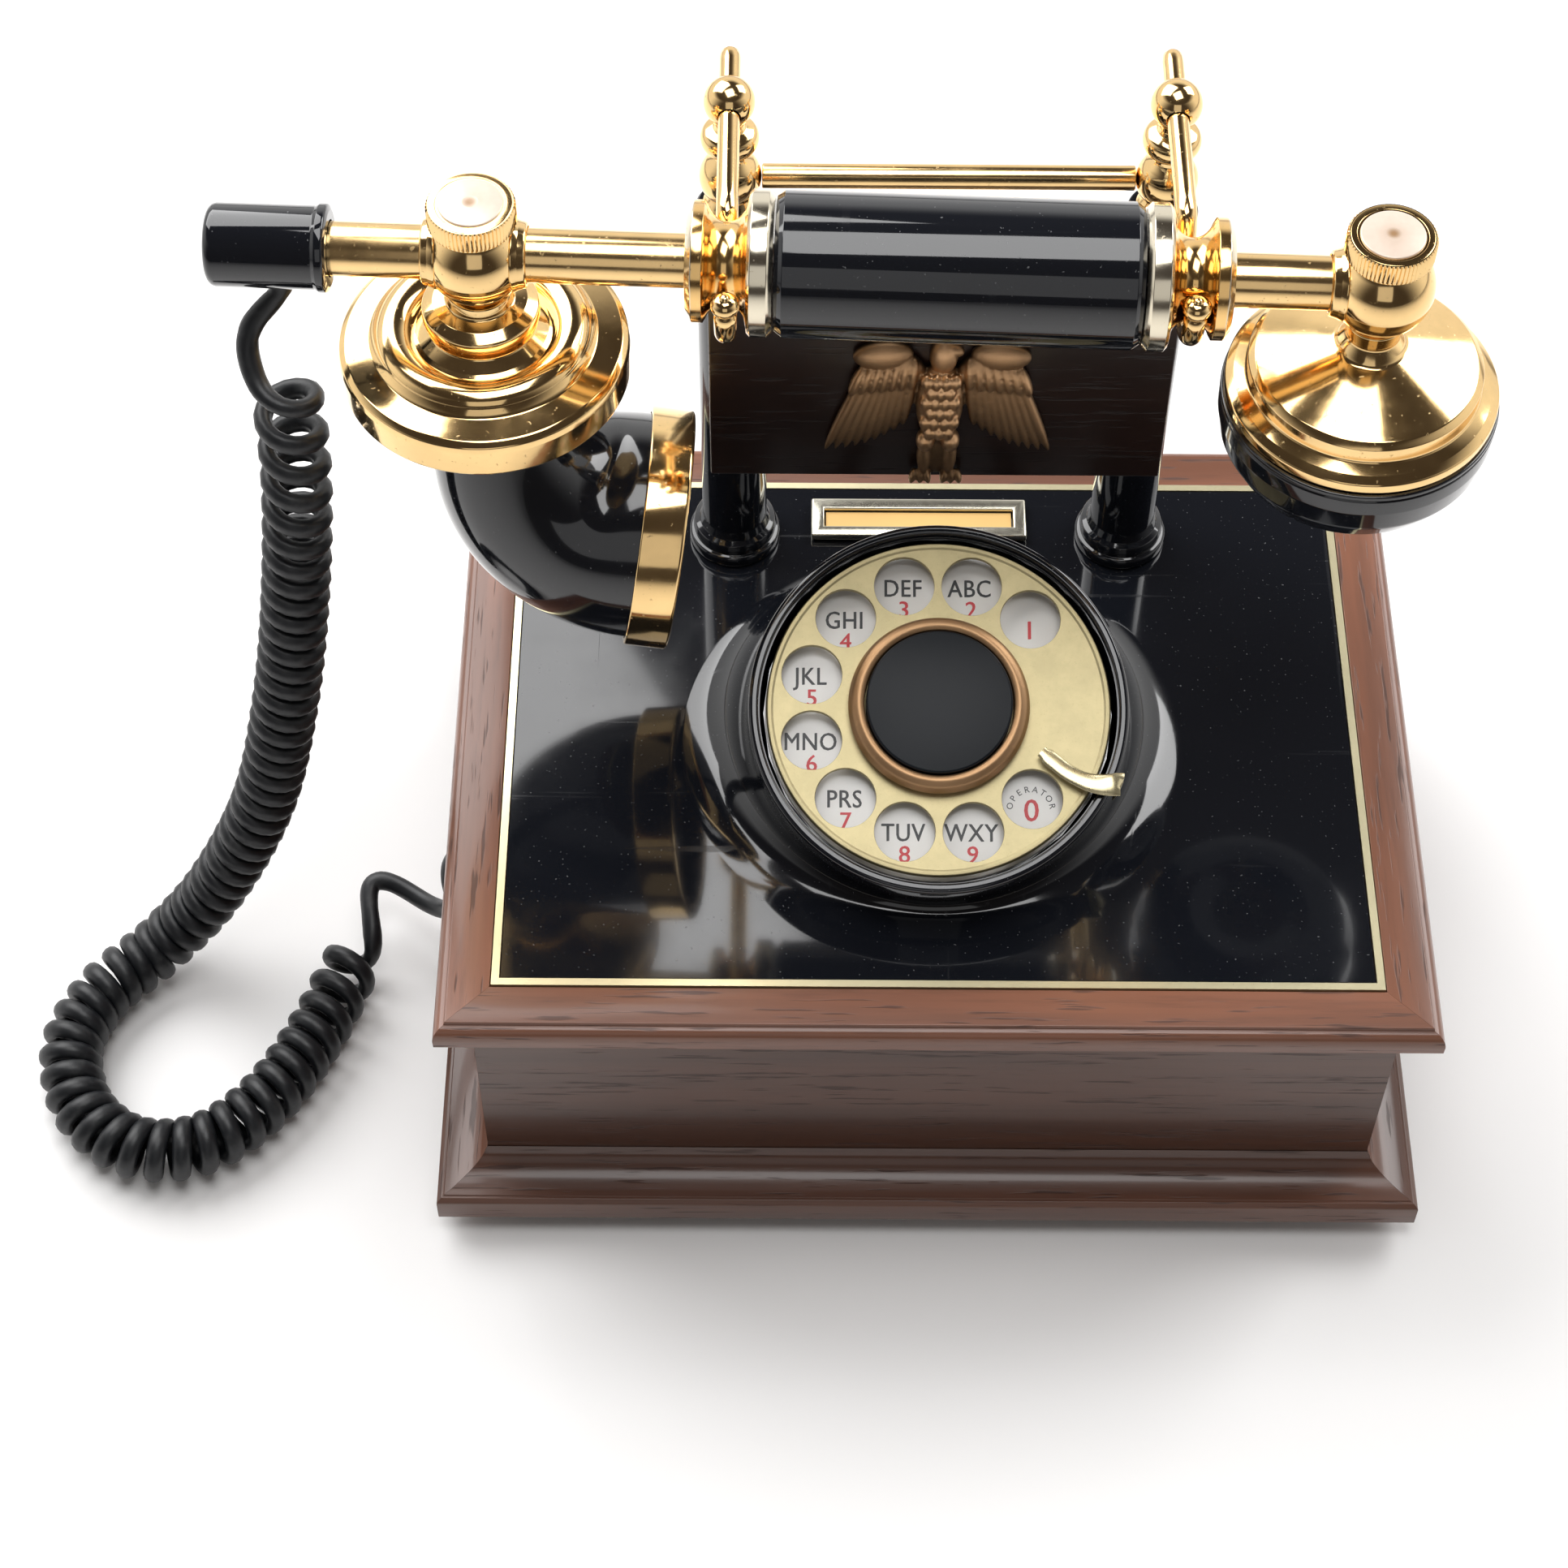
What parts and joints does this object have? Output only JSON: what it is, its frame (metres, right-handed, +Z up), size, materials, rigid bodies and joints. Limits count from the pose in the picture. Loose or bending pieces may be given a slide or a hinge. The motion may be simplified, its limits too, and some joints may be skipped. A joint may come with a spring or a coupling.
{
  "type": "french-style cradle telephone",
  "caption": "Rotary dial telephone on a moulded wooden base, with a turned gold handset on a tall sprung cradle and a curly cord.",
  "frame": {"origin": "bottom centre of the box round the telephone without its cord, at table level under the feet", "axes": "+X to the right of the person dialling, along the handset; +Y to the back; +Z up"},
  "size_m": [0.3268, 0.1758, 0.2367],
  "materials": {
    "wood": "satin lacquered red-brown hardwood with open pores",
    "dark_wood": "dark red-brown lacquered wood",
    "black": "polished black moulding with fine scratches",
    "gold": "polished gold plate",
    "inlay": "pale brass strip",
    "wheel": "satin pale brass",
    "bronze": "antique bronze with bright high spots",
    "nickel": "slightly worn nickel plate",
    "number_white": "white enamel with black letters and red digits",
    "card": "cream paper card",
    "steel": "plain plated steel",
    "bell": "brass gong",
    "grey": "moulded plastic",
    "rubber": "matt rubber",
    "cord": "satin black flexible plastic"
  },
  "bodies": {
    "base": {"case_walls": "wood", "plinth": "wood", "frame_front": "wood", "frame_right": "wood", "frame_back": "wood", "frame_left": "wood", "bottom_plate": "steel", "foot_front_left": "rubber", "foot_front_right": "rubber", "foot_back_left": "rubber", "foot_back_right": "rubber", "top_plate": "black", "dial_housing": "black", "inlay": "inlay", "card_frame": "nickel", "card": "card", "number_plate": "number_white", "dial_can": "steel", "finger_stop": "nickel", "pillar_left": "black", "pillar_right": "black", "back_panel": "dark_wood", "ornament": "bronze", "ringer_frame": "steel", "gong_left": "bell", "gong_right": "bell", "switch_bracket": "grey", "cord_gland": "rubber", "cord_coil": "cord", "cord_lead_base": "cord"},
    "dial": {"finger_wheel": "wheel", "dial_ring": "bronze", "dial_cap": "black", "dial_shaft": "steel"},
    "governor": {"governor": "steel"},
    "cradle": {"finial_left": "gold", "finial_right": "gold", "crossbar": "gold", "fork_left": "gold", "fork_right": "gold"},
    "hook_lever": {"hook_lever": "steel"},
    "clapper": {"clapper": "steel"},
    "handset": {"grip": "black", "spool_left": "gold", "spool_right": "gold", "tube_left": "gold", "tube_right": "gold", "ball_left": "gold", "ball_right": "gold", "end_cap": "black", "transmitter_case": "gold", "transmitter_unit": "steel", "horn": "black", "mouth_ring": "gold", "receiver_cover": "gold", "receiver_unit": "steel", "receiver_cup": "black", "cord_lead_top": "cord"},
    "nut_left": {"nut_left": "gold"},
    "nut_right": {"nut_right": "gold"}
  },
  "joints": [
    {"name": "dial_turn", "type": "hinge", "parent": "base", "child": "dial", "pos_m": [0.0176, -0.0175, 0.1127], "axis": [0, -0.3665, 0.9304], "range_deg": [-340, 0], "stiffness_Nm_per_rad": 0.008, "springref_deg": 114.59},
    {"name": "governor_spin", "type": "hinge", "parent": "base", "child": "governor", "pos_m": [0.0357, -0.012, 0.09874], "axis": [0, -0.3665, 0.9304], "range_deg": [0, 1360]},
    {"name": "cradle_rise", "type": "slide", "parent": "base", "child": "cradle", "axis": [0, 0, 1], "range_m": [0, 0.004], "stiffness_N_per_m": 200, "springref_m": 0.02},
    {"name": "hook_lever_turn", "type": "hinge", "parent": "base", "child": "hook_lever", "pos_m": [0.0176, 0.038, 0.0348], "axis": [1, 0, 0], "range_deg": [0, 10.5]},
    {"name": "clapper_swing", "type": "hinge", "parent": "base", "child": "clapper", "pos_m": [-0.0324, -0.008, 0.0173], "axis": [0, 0, 1], "range_deg": [-7, 7], "stiffness_Nm_per_rad": 0.002},
    {"name": "handset_lift", "type": "slide", "parent": "cradle", "child": "handset", "axis": [0, 0, 1], "range_m": [0, 0.12]},
    {"name": "nut_left_turn", "type": "hinge", "parent": "handset", "child": "nut_left", "pos_m": [-0.07823, 0.01337, 0.234], "axis": [0, 0, 1], "continuous": true},
    {"name": "nut_right_turn", "type": "hinge", "parent": "handset", "child": "nut_right", "pos_m": [0.10124, 0.00631, 0.234], "axis": [0, 0, 1], "continuous": true}
  ],
  "couplings": [
    {"joint": "governor_spin", "follows": "dial_turn", "ratio": -4},
    {"joint": "hook_lever_turn", "follows": "cradle_rise", "rad_per_m": 45.379}
  ]
}
